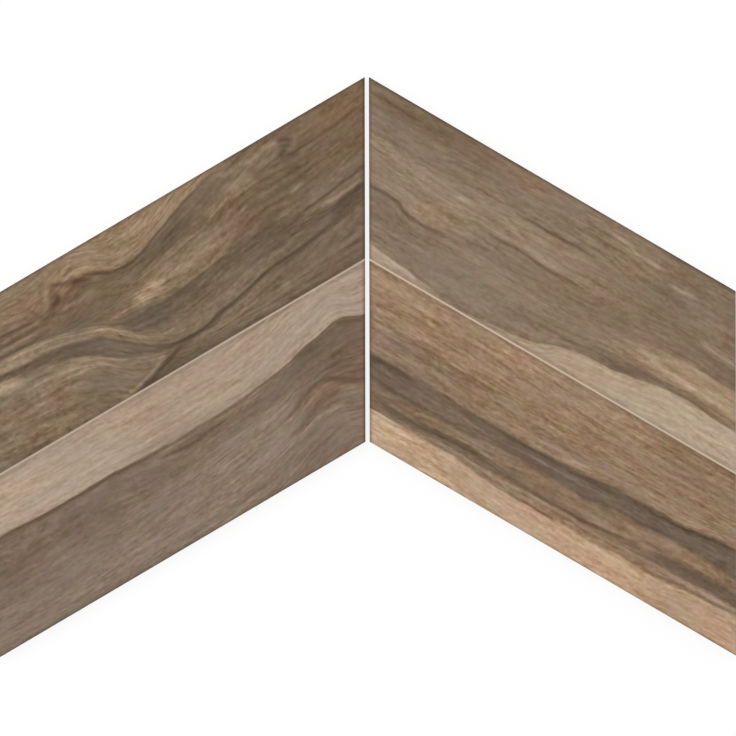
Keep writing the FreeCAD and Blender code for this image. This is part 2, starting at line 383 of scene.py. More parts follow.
RIGHT_UPPER = Plank(
    name="right_upper_print", seed=41.0, lively=0.85, hue_turn=0.003, depth=1.01,
    pale_tone=(71, 0.7), line_light=84, rim_dark=0.42,
    lines=drawn(
        GrainLine,
        (14, 4.0, (0, 14), (80, 15), (160, 14), (200, 14), (240, 13), (330, 12)),
        (27, 3.0, (0, 27), (60, 30), (160, 27), (200, 28), (240, 31), (330, 36)),
        (47, 1.5, (0, 46), (60, 46.5), (90, 47), (110, 46.5), (130, 47.5), (175, 48.5), (200, 47),
            (240, 45), (265, 43), (330, 45)),
        (59, 1.5, (0, 57), (36, 58), (50, 58.5), (58, 59.5), (64, 62.5), (80, 65), (90, 63.5),
            (140, 63), (210, 61), (255, 56.5), (330, 56)),
        (73, 2.0, (0, 78), (60, 79), (160, 76), (190, 75), (215, 73), (260, 72), (280, 70.5),
            (315, 72.5), (330, 75)),
        (84, 0.8, (0, 91), (75, 92.5), (85, 93.5), (95, 96.5), (108, 98), (155, 95.5), (182, 91),
            (190, 87.5), (205, 83.5), (232, 82), (242, 80), (268, 76), (300, 77), (330, 78)),
    ),
    bands=(
        ((15, 50, 0.3), (50, 48, 0.2), (80, 50, 0.2), (120, 53, 0.25), (160, 54, 0.45), (205, 56, 0.35),
            (230, 51, 0.25), (260, 51, 0.5)),
        ((30, 52, 0.5), (80, 51, 0.35), (120, 52, 0.45), (160, 53, 0.45), (205, 55, 0.3),
            (240, 53, 0.45), (275, 52, 0.3)),
        ((30, 56, 0.5), (80, 58, 0.45), (120, 58, 0.5), (160, 58, 0.4), (200, 54, 0.35), (240, 51, 0.3),
            (280, 52, 0.3)),
        ((55, 56, 0.4), (80, 57, 0.4), (120, 52, 0.5), (165, 53, 0.25), (205, 53, 0.3), (245, 54, 0.25),
            (275, 52, 0.3), (295, 50, 0.3)),
        ((50, 50, 0.5), (100, 54, 0.4), (140, 56, 0.45), (180, 54, 0.3), (215, 55, 0.35),
            (245, 60, 0.35), (270, 65, 0.35), (305, 64, 0.3)),
        ((70, 52, 0.45), (110, 53, 0.55), (150, 53, 0.5), (190, 54, 0.4), (220, 51, 0.35),
            (240, 48, 0.4), (265, 53, 0.35), (305, 56, 0.2)),
        ((65, 65, 0.7), (120, 62, 0.55), (180, 69, 0.6), (220, 70, 0.57), (260, 72, 0.7),
            (315, 72, 0.8)),
    ),
    dark=drawn(
        Stroke,
        (0.7, 0.9, (34, 59), (58, 59.5)),
        (0.7, 1.1, (54, 59), (63, 62.5), (79, 64.5), (92, 63)),
        (0.3, 0.8, (90, 63), (105, 62.5), (118, 63)),
        (0.3, 1.0, (98, 46.5), (115, 46.5), (132, 47.5)),
        (0.6, 0.9, (126, 47), (145, 47.5), (160, 48.5), (174, 48), (186, 48.5)),
        (0.75, 0.9, (126, 28), (152, 27), (182, 27)),
        (0.3, 0.9, (70, 19.5), (96, 18.5)),
        (0.4, 1.6, (8, 7.5), (25, 7), (42, 8)),
        (0.25, 2.0, (44, 7), (56, 6.5), (68, 5)),
        (0.4, 1.5, (212, 80.5), (228, 80), (244, 77.5)),
        (0.3, 1.2, (176, 91.5), (197, 84)),
        (0.35, 0.9, (262, 75.5), (280, 75), (300, 76), (318, 76.5)),
        (0.12, 1.0, (282, 71.5), (298, 72), (312, 73.5)),
        (0.2, 2.0, (262, 44), (298, 46)),
        (0.3, 2.0, (220, 24), (238, 23.5), (252, 25)),
        (0.3, 1.0, (178, 22), (190, 21), (200, 22)),
        (0.3, 1.2, (150, 84), (170, 82), (206, 79.5)),
        (0.35, 0.9, (58, 91.5), (78, 92.5), (96, 94.5)),
        (0.35, 1.1, (80, 34), (100, 33.5)),
        (0.25, 1.2, (164, 9), (188, 9.5)),
    ),
    pale=drawn(
        Stroke,
        (1.0, 1.4, (236, 64), (260, 65), (280, 68.5), (294, 70)),
        (0.3, 1.6, (226, 62.5), (240, 62), (254, 62.5)),
        (0.5, 1.0, (186, 8.5), (196, 9), (204, 10.5)),
        (0.6, 1.1, (202, 10.5), (212, 11), (223, 13)),
        (0.6, 1.0, (231, 17.5), (240, 17), (252, 17.5)),
        (0.45, 1.2, (83, 45.5), (93, 43)),
        (0.6, 1.0, (87, 38), (91, 37), (97, 36.5)),
        (0.4, 1.2, (122, 35.5), (148, 43.5), (163, 46)),
        (0.55, 1.8, (266, 40.5), (280, 40), (296, 41)),
        (0.45, 1.0, (258, 57), (272, 56), (290, 57)),
        (0.4, 2.5, (286, 66), (298, 66), (308, 67)),
        (0.3, 2.0, (254, 80), (264, 79.5), (274, 80)),
        (0.8, 2.2, (46, 92), (72, 94), (88, 97)),
        (0.9, 1.6, (50, 96.5), (82, 97.5), (98, 99)),
    ),
    rust=drawn(
        Stroke,
        (0.35, 2.6, (8, 8), (38, 8)),
        (0.35, 3.0, (44, 11), (68, 9)),
        (0.35, 2.6, (72, 5), (80, 5), (96, 7)),
        (0.35, 4.0, (112, 9), (125, 9), (140, 10)),
        (0.2, 5.0, (64, 53), (90, 53)),
        (0.25, 2.0, (95, 27), (108, 27.5), (120, 27)),
        (0.5, 1.2, (132, 47), (178, 48.5)),
        (0.4, 1.2, (142, 27), (165, 27)),
        (0.25, 3.0, (222, 10), (235, 9), (250, 10)),
        (0.25, 3.0, (282, 73), (312, 75)),
    ),
)

RIGHT_LOWER = Plank(
    name="right_lower_print", seed=67.0, lively=1.1, hue_turn=-0.001, depth=1.0,
    pale_tone=(72, 0.3), line_light=84, rim_dark=0.12,
    lines=drawn(
        GrainLine,
        (15, 5.0, (0, 14), (240, 16), (330, 14)),
        (30, 4.0, (0, 30), (180, 31), (330, 26)),
        (49, 1.3, (0, 50), (90, 51), (110, 52), (140, 51), (180, 49), (195, 47), (230, 45.5),
            (250, 45.5), (285, 41.5), (330, 42.5)),
        (62, 2.0, (0, 64), (75, 66), (105, 64), (160, 61.5), (185, 61.5), (232, 58.5), (275, 56),
            (300, 58), (330, 60)),
        (69, 1.5, (0, 72), (75, 73), (130, 70.5), (150, 72), (200, 72), (225, 71.5), (285, 66),
            (330, 67)),
        (76, 1.2, (0, 78), (70, 77.5), (95, 76.5), (165, 77), (190, 76.5), (215, 77), (260, 75.5),
            (330, 74)),
        (82, 0.7, (0, 82), (70, 81.5), (115, 81), (130, 82.5), (240, 83), (262, 82.5), (280, 80.5),
            (330, 78)),
    ),
    bands=(
        ((20, 63, 0.15), (70, 63, 0.15), (110, 64, 0.15), (150, 60, 0.2), (190, 62, 0.2),
            (230, 57, 0.1), (262, 58, 0.1)),
        ((35, 58, 0.05), (80, 59, 0.05), (120, 58, 0.05), (160, 60, 0.1), (200, 58, 0.05), (240, 58, 0),
            (275, 56, 0.1)),
        ((45, 53, 0.2), (100, 54, 0.1), (140, 57, 0.15), (180, 58, 0.2), (220, 58, 0.15),
            (260, 58, 0.15)),
        ((40, 43, 0.45), (100, 47, 0.25), (150, 44, 0.35), (200, 43, 0.4), (250, 44, 0.45),
            (295, 43, 0.6)),
        ((55, 51, 0.2), (85, 52, 0.2), (115, 50, 0.3), (160, 55, 0.1), (215, 55, 0.1), (260, 58, 0.1),
            (300, 55, 0.2)),
        ((60, 46, 0.2), (110, 45, 0.3), (160, 50, 0.05), (210, 53, 0), (260, 48, 0.2), (295, 46, 0.4)),
        ((55, 50, 0.4), (120, 56, 0.35), (170, 60, 0.2), (220, 58, 0.1), (270, 60, 0.25),
            (310, 61, 0.3)),
        ((65, 75, 0.4), (130, 73, 0.25), (180, 74, 0.25), (230, 75, 0.2), (280, 70, 0.25),
            (315, 72, 0.25)),
    ),
    dark=drawn(
        Stroke,
        (0.7, 1.3, (30, 52), (66, 52.5)),
        (0.5, 1.0, (100, 52.5), (120, 52), (150, 52.5), (206, 50)),
        (0.5, 1.0, (240, 47.5), (256, 47.5), (268, 46), (280, 43.5), (296, 43)),
        (0.45, 1.0, (45, 65), (78, 65.5)),
        (0.4, 1.1, (188, 61), (212, 59.5)),
        (0.35, 1.1, (226, 58.5), (272, 55.5)),
        (0.6, 1.4, (48, 76), (70, 76), (90, 74.5), (106, 72.5), (122, 72)),
        (0.4, 1.2, (118, 73), (160, 75.5)),
        (0.6, 0.9, (158, 75.5), (200, 75), (216, 73), (232, 72)),
        (0.35, 0.8, (150, 79.5), (206, 79)),
        (0.5, 0.9, (188, 61.5), (194, 62), (200, 61.5)),
        (0.45, 2.4, (250, 71), (268, 70.5), (286, 69.5), (304, 70)),
        (0.6, 0.8, (112, 81), (126, 82.5), (190, 84)),
        (0.55, 1.0, (254, 82), (278, 79.5), (318, 77.5)),
        (0.3, 0.9, (42, 37.5), (84, 39)),
        (0.3, 1.0, (155, 25), (190, 26)),
        (0.3, 1.0, (150, 40.5), (168, 40), (186, 41)),
        (0.3, 1.0, (222, 21), (240, 19), (256, 15)),
        (0.12, 0.9, (15, 12), (45, 12.5)),
        (0.25, 0.9, (76, 9.5), (90, 10), (104, 9.5)),
        (0.35, 1.5, (262, 57.5), (294, 56.5)),
        (0.35, 1.2, (288, 65.5), (308, 65)),
    ),
    pale=drawn(
        Stroke,
        (0.45, 1.8, (20, 44), (36, 44.5), (70, 44)),
        (0.25, 1.5, (70, 43.5), (120, 44)),
        (0.45, 1.6, (168, 46), (192, 45)),
        (0.55, 1.2, (116, 44), (130, 43), (144, 43.5)),
        (0.3, 1.6, (156, 10), (168, 9), (180, 5)),
        (0.45, 0.9, (204, 72.5), (214, 72), (238, 67)),
        (0.4, 0.8, (262, 77.5), (312, 75.5)),
        (0.4, 0.8, (126, 80), (178, 77.5)),
        (0.35, 0.8, (160, 82), (182, 82), (206, 81)),
        (0.3, 0.8, (98, 69.5), (124, 69.5), (150, 68)),
        (0.2, 0.8, (62, 57), (92, 57.5), (120, 57)),
        (0.2, 0.8, (150, 56), (182, 55.5), (214, 54)),
        (0.3, 1.6, (252, 85), (280, 83.5), (308, 83)),
        (0.4, 1.0, (58, 82), (98, 81.5)),
        (0.4, 1.2, (210, 85), (235, 85), (260, 84)),
        (0.3, 1.2, (20, 20), (40, 19.5), (60, 24)),
        (0.3, 1.2, (126, 25), (148, 24)),
        (0.3, 1.0, (68, 69), (90, 69)),
        (0.3, 1.2, (54, 17.5), (80, 18.5)),
        (0.3, 1.2, (14, 33), (36, 33)),
        (0.5, 1.2, (244, 84), (258, 84), (292, 82.5)),
    ),
    rust=drawn(
        Stroke,
        (0.35, 2.5, (262, 61), (276, 61), (292, 62)),
        (0.35, 2.5, (142, 61), (155, 60), (168, 64)),
        (0.15, 4.0, (215, 93), (232, 93), (250, 92)),
        (0.45, 3.5, (294, 92), (305, 91), (316, 92)),
        (0.15, 4.0, (60, 91), (75, 91), (92, 92)),
        (0.25, 3.0, (160, 36), (175, 35), (190, 37)),
    ),
)

# Each plate: its piece, the node it replaces, its side of the joint, and its upper and lower plank.
PLATES = (
    ("left_plate", "left_tile", LEFT, (LEFT_UPPER, LEFT_LOWER)),
    ("right_plate", "right_tile", RIGHT, (RIGHT_UPPER, RIGHT_LOWER)),
)


def tone(light, grey):
    """Give a wood colour from its red in percent and how grey it is, as linear light under the glaze."""
    red = light / 100
    encoded = (red, red * (WARM_GREEN + GREYED_GREEN * grey), red * (WARM_BLUE + GREYED_BLUE * grey))
    seen = [((v + 0.055) / 1.055) ** 2.4 for v in encoded]  # the sRGB curve
    return tuple(max(v - GLAZE_LIFT, DARKEST_PRINT) / (1 - GLAZE_LIFT) for v in seen) + (1.0,)


def follow(points, along):
    """Give a line's place across the plank at each place along it: a smooth curve through its points."""
    knots, heights = np.array(points, float).T
    slopes = np.gradient(heights, knots)
    first = np.clip(np.searchsorted(knots, along) - 1, 0, len(knots) - 2)
    span = knots[first + 1] - knots[first]
    u = np.clip((along - knots[first]) / span, 0, 1)
    rise = heights[first + 1] - heights[first]
    bend = u * (1 - u) * ((1 - u) * (slopes[first] * span - rise) - u * (slopes[first + 1] * span - rise))
    return heights[first] + rise * u + bend


def straight_grain(plank, along, across):
    """Give each place's level in straight wood, so that the bands follow the plank's growth lines, and
    the same with its stretch held in bounds, so that streaks keep their width."""
    least_step = 0.5
    least_stretch, most_stretch = 0.7, 1.6
    places = [follow(line.points, along) for line in plank.lines]
    for index in range(1, len(places)):
        places[index] = np.maximum(places[index], places[index - 1] + least_step)
    level = plank.lines[0].rest + across - places[0]
    even = level
    for index, line in enumerate(plank.lines):
        stretch = 1.0
        if index + 1 < len(places):
            stretch = (plank.lines[index + 1].rest - line.rest) / (places[index + 1] - places[index])
        below = across - places[index]
        level = np.where(below >= 0, line.rest + below * stretch, level)
        held = np.clip(stretch, least_stretch, most_stretch)
        even = np.where(below >= 0, line.rest + below * held, even)
    return level, even


def stroke_mask(strokes, along, across):
    """Lay a set of strokes on the plank, each full in its middle and fading out at its ends and sides."""
    end_fade, end_strength, sway_room = 0.3, 0.4, 1
    bare = np.ones_like(along)
    for number, stroke in enumerate(strokes):
        heights = [height for _, height in stroke.points]
        start, end = stroke.points[0][0], stroke.points[-1][0]
        reach = 2 * stroke.half_width
        near = (along > start - reach) & (along < end + reach)
        near &= (across > min(heights) - reach - sway_room) & (across < max(heights) + reach + sway_room)
        if not near.any():
            continue
        off, passed = trail_distance(stroke.points, along[near], across[near], number)
        fade = np.clip(np.minimum(passed, 1 - passed) / end_fade + end_strength, 0, 1)
        body = np.clip(1 - (off / reach) ** 2, 0, 1) ** 2
        bare[near] *= 1 - stroke.strength * body * fade
    return 1 - bare


def trail_distance(points, along, across, number):
    """Give each place's distance from a stroke's slightly swaying trail, and how far along the trail it
    lies, from 0 to 1. The stroke's number sets where its sway starts."""
    slow_sway, slow_length = 0.3, 6.1
    quick_sway, quick_length = 0.12, 2.3
    least_steps, step_length = 8, 3
    across = across + slow_sway * np.sin(along / slow_length + number)
    across = across + quick_sway * np.sin(along / quick_length + 2 * number)
    start, end = points[0][0], points[-1][0]
    track = np.linspace(start, end, max(least_steps, int((end - start) / step_length)))
    trail = follow(points, track)
    nearest = np.full(along.shape, np.inf)
    passed = np.zeros(along.shape)
    for step in range(len(track) - 1):
        run, rise = track[step + 1] - track[step], trail[step + 1] - trail[step]
        ahead, aside = along - track[step], across - trail[step]
        u = np.clip((ahead * run + aside * rise) / (run * run + rise * rise), 0, 1)
        off = np.hypot(ahead - u * run, aside - u * rise)
        closer = off < nearest
        nearest = np.where(closer, off, nearest)
        passed = np.where(closer, (step + u) / (len(track) - 1), passed)
    return nearest, passed


def print_fields(hand, x, fall, planks):
    """Work out the grain and the marks of the print at every point of a face."""
    grain = np.zeros(x.shape + (3,))
    marks = np.zeros(x.shape + (3,))
    for plank, top in zip(planks, (0.0, MIDDLE)):
        across = (fall - top) * COS
        from_joint = x / COS + across * TAN
        along = from_joint if hand == RIGHT else PLANK_REACH - from_joint
        part = (across >= -ROUNDING) & (across <= PLANK_WIDTH + ROUNDING)
        level, even = straight_grain(plank, along, across)
        grain[part] = np.stack([along, level, even], axis=-1)[part]
        layers = [stroke_mask(strokes, along, across) for strokes in (plank.dark, plank.pale, plank.rust)]
        marks[part] = np.stack(layers, axis=-1)[part]
    return grain, marks


def spaced(*stops):
    """Join single places and runs of evenly spaced ones, given as (from, to, count), without repeats."""
    runs = [np.linspace(*stop) if isinstance(stop, tuple) else [stop] for stop in stops]
    return np.unique(np.round(np.concatenate(runs), 6))


def face_grid():
    """Give the face's points by their distance x from the joint and their fall below the upper edge."""
    bevel = FACE_BEVEL / COS
    mouth, floor = SCORE_MOUTH / 2 / COS, SCORE_FLOOR / 2 / COS
    columns = spaced(0, (FACE_BEVEL, RUN - FACE_BEVEL, FACE_COLUMNS), RUN)
    rows = spaced(0, (bevel, MIDDLE - mouth, FACE_ROWS), MIDDLE - floor, MIDDLE, MIDDLE + floor,
                  (MIDDLE + mouth, END_SIDE - bevel, FACE_ROWS), END_SIDE)
    return np.meshgrid(columns, rows)


def back_grid():
    """Give the back's points in the same way: a plain margin round a ladder of keying cells."""
    key_count = int((2 * (PLANK_WIDTH - KEY_MARGIN) + KEY_PITCH - KEY_WIDTH) / KEY_PITCH + ROUNDING)
    ladder = (key_count - 1) * KEY_PITCH + KEY_WIDTH
    first_key = PLANK_WIDTH - ladder / 2
    key_edges = [(first_key + key * KEY_PITCH + step) / COS
                 for key in range(key_count) for step in (0, KEY_WIDTH)]
    return np.meshgrid([0, KEY_MARGIN, RUN - KEY_MARGIN, RUN], [0, *key_edges, END_SIDE])


def placed(hand, x, fall, height):
    """Put a grid of a plate's points where they lie in the tile."""
    return np.stack([hand * (HALF_GAP + x), POINT_Y - x * TAN - fall, height], axis=-1).reshape(-1, 3)


def grid_faces(index):
    """Give the faces of a grid of points, each by its four corners."""
    corners = [index[:-1, :-1], index[1:, :-1], index[1:, 1:], index[:-1, 1:]]
    return np.stack(corners, axis=-1).reshape(-1, 4)


def face_cut(rim, score):
    """Give how deep the bevel and the score cut, from the distances to the face's rim and its middle."""
    flank = (SCORE_MOUTH - SCORE_FLOOR) / 2
    bevel_cut = np.clip(FACE_BEVEL - rim, 0, None)
    score_cut = np.clip((SCORE_MOUTH / 2 - score) / flank, 0, 1) * SCORE_DEPTH
    return np.maximum(bevel_cut, score_cut)


def plate_faces(hand, face, back):
    """Join the points of a plate's face and back into faces: the face's, the back's, then four sides."""
    sides = [
        [*face[0, :], *back[0, ::-1]],
        [*face[::-1, 0], *back[:, 0]],
        [*face[-1, ::-1], *back[-1, :]],
        [*face[:, -1], *back[::-1, -1]],
    ]
    faces = grid_faces(face).tolist() + grid_faces(back)[:, [0, 3, 2, 1]].tolist()
    faces += [[int(point) for point in side] for side in sides]
    return [corners[::-1] for corners in faces] if hand == LEFT else faces


def mark_faces(mesh, fall, back_fall):
    """Mark which faces are the lower plank's print, which are bare body and which are keying cells."""
    lower_print = (fall[:-1, :-1] >= MIDDLE - ROUNDING).ravel()
    back_rows, back_columns = (size - 1 for size in back_fall.shape)
    cell_row, cell_column = np.divmod(np.arange(back_rows * back_columns), back_columns)
    count, printed, on_back = len(mesh.polygons), lower_print.size, cell_row.size
    is_printed = np.arange(count) < printed
    is_lower = np.zeros(count, int)
    is_lower[:printed] = lower_print
    is_key = np.zeros(count, bool)
    is_key[printed:printed + on_back] = (cell_column == 1) & (cell_row % 2 == 1)
    mesh.polygons.foreach_set("material_index", is_lower)
    mesh.polygons.foreach_set("use_smooth", is_printed)
    add_attribute(mesh, "key_cell", "BOOLEAN", "FACE", is_key)
    add_attribute(mesh, "bare_body", "BOOLEAN", "FACE", ~is_printed)


def plate_mesh(name, hand, planks):
    """Build one plate as a closed mesh: a fine printed face, its bevel and score, plain sides and a back
    whose keying cells are marked for pressing in. The face carries the wood print's fields."""
    x, fall = face_grid()
    back_x, back_fall = back_grid()
    long_rim = np.minimum(fall, END_SIDE - fall) * COS
    rim = np.minimum(np.minimum(x, RUN - x), long_rim)
    score = np.abs(fall - MIDDLE) * COS
    face = placed(hand, x, fall, THICKNESS - face_cut(rim, score))
    back = placed(hand, back_x, back_fall, np.zeros_like(back_x))
    face_index = np.arange(x.size).reshape(x.shape)
    back_index = x.size + np.arange(back_x.size).reshape(back_x.shape)
    mesh = bpy.data.meshes.new(name)
    points = (np.concatenate([face, back]) * MM).tolist()
    mesh.from_pydata(points, [], plate_faces(hand, face_index, back_index))
    mark_faces(mesh, fall, back_fall)

    grain, marks = print_fields(hand, x, fall, planks)
    edges = np.stack([long_rim, score, x], axis=-1)
    no_print = np.zeros((back_x.size, 3))
    for field, values in (("grain", grain), ("marks", marks), ("edges", edges)):
        values = np.concatenate([values.reshape(-1, 3), no_print])
        add_attribute(mesh, field, "FLOAT_VECTOR", "POINT", values)
    off_bevel = np.clip((rim - FACE_BEVEL) / RELIEF_FADE, 0, 1)
    off_score = np.clip((score - SCORE_MOUTH / 2) / RELIEF_FADE, 0, 1)
    relief = np.concatenate([(off_bevel * off_score).ravel(), no_print[:, 0]])
    add_attribute(mesh, "relief", "FLOAT", "POINT", relief)
    mesh.update()
    return mesh


def add_attribute(mesh, name, kind, domain, values):
    """Store one field on the mesh."""
    attribute = mesh.attributes.new(name, kind, domain)
    attribute.data.foreach_set("vector" if kind == "FLOAT_VECTOR" else "value", np.ravel(values))


def add_object(name, data):
    """Put a mesh, lamp or camera into the scene."""
    made = bpy.data.objects.new(name, data)
    bpy.context.collection.objects.link(made)
    return made


def new_group(name, kind, inputs, outputs):
    """Start a node group with named inputs and outputs, each given with its kind of socket."""
    group = bpy.data.node_groups.new(name, kind)
    for in_out, sockets in (("INPUT", inputs), ("OUTPUT", outputs)):
        for label, socket in sockets.items():
            group.interface.new_socket(label, in_out=in_out, socket_type="NodeSocket" + socket)
    return group, group.nodes.new("NodeGroupInput").outputs, group.nodes.new("NodeGroupOutput").inputs


def new_material(name):
    """Start a material and give it with its node tree and its shader."""
    material = bpy.data.materials.new(name)
    material.use_nodes = True
    tree = Tree(material.node_tree)
    return material, tree, tree.nodes["Principled BSDF"]


class Tree:
    """Short ways to place nodes in one node tree."""

    def __init__(self, tree):
        self.nodes, self.links = tree.nodes, tree.links

    def feed(self, socket, value):
        """Link a socket, or set its constant."""
        if isinstance(value, bpy.types.NodeSocket):
            self.links.new(value, socket)
        else:
            socket.default_value = value

    def add(self, kind, inputs=(), **settings):
        """Add a node, with its settings and its inputs by name or place."""
        node = self.nodes.new(kind)
        for name, value in settings.items():
            setattr(node, name, value)
        for name, value in dict(inputs).items():
            self.feed(node.inputs[name], value)
        return node

    def math(self, operation, *values):
        """Reckon with values, in the order that the operation takes them."""
        return self.add("ShaderNodeMath", dict(enumerate(values)), operation=operation).outputs[0]

    def swing(self, value, amount, base):
        """Let a value that runs from 0 to 1 sway a base by an amount, half of it up and half down."""
        return self.math("MULTIPLY_ADD", self.math("SUBTRACT", value, 0.5), amount, base)

    def remap(self, value, low, high, to_low=0.0, to_high=1.0, smooth=True):
        """Carry a value from one range to another, held at its ends."""
        sockets = {"Value": value, "From Min": low, "From Max": high, "To Min": to_low, "To Max": to_high}
        easing = "SMOOTHSTEP" if smooth else "LINEAR"
        return self.add("ShaderNodeMapRange", sockets, interpolation_type=easing).outputs[0]

    def mix(self, factor, first, second, blend="MIX"):
        """Lay the second colour over the first, by a factor."""
        node = self.nodes.new("ShaderNodeMix")
        node.data_type, node.blend_type = "RGBA", blend
        for name, value in (("Factor_Float", factor), ("A_Color", first), ("B_Color", second)):
            socket = next(s for s in node.inputs if s.identifier == name)
            self.feed(socket, value)
        return next(s for s in node.outputs if s.identifier == "Result_Color")

    def split(self, vector):
        """Give the three values of a vector."""
        return self.add("ShaderNodeSeparateXYZ", {0: vector}).outputs

    def group(self, group, **inputs):
        """Place a shader group with its own values, and give its one result."""
        node = self.nodes.new("ShaderNodeGroup")
        node.node_tree = group
        for name, value in inputs.items():
            self.feed(node.inputs[name], value)
        return node.outputs[0]

    def grain_noise(self, grain, length, width, detail, seed):
        """Noise drawn out along the grain."""
        along, _, even = self.split(grain)
        stretched = self.add("ShaderNodeCombineXYZ", {
            0: self.math("DIVIDE", along, length),
            1: self.math("DIVIDE", even, width),
            2: seed})
        noise = self.add("ShaderNodeTexNoise", {
            "Vector": stretched.outputs[0], "Scale": 1.0, "Detail": detail, "Roughness": NOISE_ROUGHNESS})
        return noise.outputs[0]

    def bump(self, shader, height, strength, distance):
        """Rough up a shader's surface, by a height that runs from 0 to 1 over a distance in mm."""
        bump = self.add("ShaderNodeBump", {
            "Height": height, "Strength": strength, "Distance": distance * MM})
        self.feed(shader.inputs["Normal"], bump.outputs[0])

    def looked_at(self):
        """Give 1 for rays that show the background, straight, mirrored or through glass, else 0."""
        rays = self.add("ShaderNodeLightPath").outputs
        seen = self.math("MAXIMUM", rays["Is Camera Ray"], rays["Is Glossy Ray"])
        return self.math("MAXIMUM", seen, rays["Is Transmission Ray"])


def grain_streaks_group():
    """Streaks drawn out along the grain, from 0 to 1."""
    group, given, result = new_group(
        "grain_streaks", "ShaderNodeTree",
        {"Grain": "Vector", "Length": "Float", "Width": "Float", "Detail": "Float", "Seed": "Float"},
        {"Streak": "Float"})
    tree = Tree(group)
    noise = tree.grain_noise(*(given[name] for name in ("Grain", "Length", "Width", "Detail", "Seed")))
    tree.feed(result["Streak"], tree.remap(noise, 0.25, 0.75, smooth=False))
    return group


def painted_shade_group():
    """Where painted shade darkens the print beside an edge: 1 at the edge, 0 past its reach."""
    group, given, result = new_group(
        "rim_shade", "ShaderNodeTree",
        {"Distance": "Float", "Start": "Float", "Reach": "Float"}, {"Shade": "Float"})
    tree = Tree(group)
    tree.feed(result["Shade"], tree.remap(given["Distance"], given["Start"], given["Reach"], 1.0, 0.0))
    return group


def wood_print(plank, streaks, rim):
    """Make the glazed print of one plank: its bands, strokes and streaks, and the painted shade at its
    edges.
    """
    material, tree, shader = new_material(plank.name)
    grain, marks, edges = (tree.add("ShaderNodeAttribute", attribute_name=field).outputs["Vector"]
                           for field in ("grain", "marks", "edges"))

    def streak(length, width, detail, shift):
        return tree.group(
            streaks, Grain=grain, Length=length, Width=width, Detail=detail, Seed=plank.seed + shift)

    layers = [streak(length, width, detail, LAYER_SHIFT * number)
              for number, (length, width, detail, _) in enumerate(GRAIN_LAYERS)]
    _, middling, fine, fleck = layers

    along, level, _ = tree.split(grain)
    wander = tree.swing(streak(*SLOW_WANDER), SLOW_WANDER_REACH, level)
    wander = tree.swing(streak(*QUICK_WANDER), QUICK_WANDER_REACH, wander)
    colour = lay_bands(tree, plank, along, wander)
    cover = tree.math("MULTIPLY_ADD", tree.math("ADD", middling, fine), STREAK_COVER, LEAST_COVER)
    colour = lay_strokes(tree, plank, colour, marks, cover)
    colour = lay_streaks(tree, plank, colour, layers, streak(*PATCHES), streak(*MOTTLE))
    # Painted shade beside the long edge, the joint and the score, and the score's pale line.
    colour = paint_edge_shade(tree, plank, colour, edges, rim)

    tree.feed(shader.inputs["Base Color"], colour)
    gloss = tree.remap(middling, 0.0, 1.0, GLAZE_SMOOTH, GLAZE_ROUGH, smooth=False)
    tree.feed(shader.inputs["Roughness"], gloss)
    shader.inputs["Specular IOR Level"].default_value = GLAZE_SPECULAR
    tree.bump(shader, fleck, GLAZE_BUMP, GLAZE_BUMP_HEIGHT)
    return material


def lay_bands(tree, plank, along, level):
    """Tone the wood band by band, from the upper edge down."""
    place = tree.math("DIVIDE", along, PLANK_REACH)
    colour = band_tone(tree, place, plank.bands[0])
    for line, tones in zip(plank.lines, plank.bands[1:]):
        below = tree.remap(level, line.rest - line.edge, line.rest + line.edge)
        colour = tree.mix(below, colour, band_tone(tree, place, tones))
    return colour


def band_tone(tree, place, tones):
    """Blend one band's tones along the plank."""
    node = tree.add("ShaderNodeValToRGB", {0: place})
    ramp = node.color_ramp
    while len(ramp.elements) < len(tones):
        ramp.elements.new(0.5)
    for element, (along, light, grey) in zip(ramp.elements, tones):
        element.position = along / PLANK_REACH
        element.color = tone(light, grey)
    return node.outputs[0]


def lay_strokes(tree, plank, colour, marks, cover):
    """Lay the pale, dark and rust strokes over the wood, as far as the streaks let them cover it."""
    dark, pale, rust = tree.split(marks)
    pale = tree.math("MULTIPLY", tree.math("MULTIPLY", pale, cover), PALE_COVER)
    colour = tree.mix(pale, colour, tone(*plank.pale_tone))
    colour = tree.mix(tree.math("MULTIPLY", dark, cover), colour, tone(*VEIN_TONE))
    return tree.mix(tree.math("MULTIPLY", rust, RUST_COVER), colour, RUST_WASH, blend="MULTIPLY")


def lay_streaks(tree, plank, colour, layers, patches, mottle):
    """Lighten and darken the wood along its streaks, and turn its hue and depth a little by place."""
    stir = 0.0
    for layer, (_, _, _, amount) in zip(layers, GRAIN_LAYERS):
        stir = tree.swing(layer, amount * plank.lively, stir)
    redness = tree.add("ShaderNodeSeparateColor", {0: colour}).outputs[0]
    by_tone = tree.remap(redness, DARK_RED, PALE_RED, DARK_LIVELY, PALE_LIVELY)
    by_place = tree.remap(patches, 0.0, 1.0, CALM_PATCH, LIVELY_PATCH)
    lightness = tree.math("MULTIPLY_ADD", stir, tree.math("MULTIPLY", by_tone, by_place), 1.0)
    depth = tree.math("MULTIPLY_ADD", lightness, -LIGHT_FADES, plank.depth + LIGHT_FADES)
    turned = tree.add("ShaderNodeHueSaturation", {
        "Hue": tree.swing(mottle, MOTTLE_TURN, 0.5 + plank.hue_turn),
        "Saturation": tree.swing(patches, PATCH_DEPTH, depth), "Value": lightness, "Color": colour})
    return turned.outputs[0]


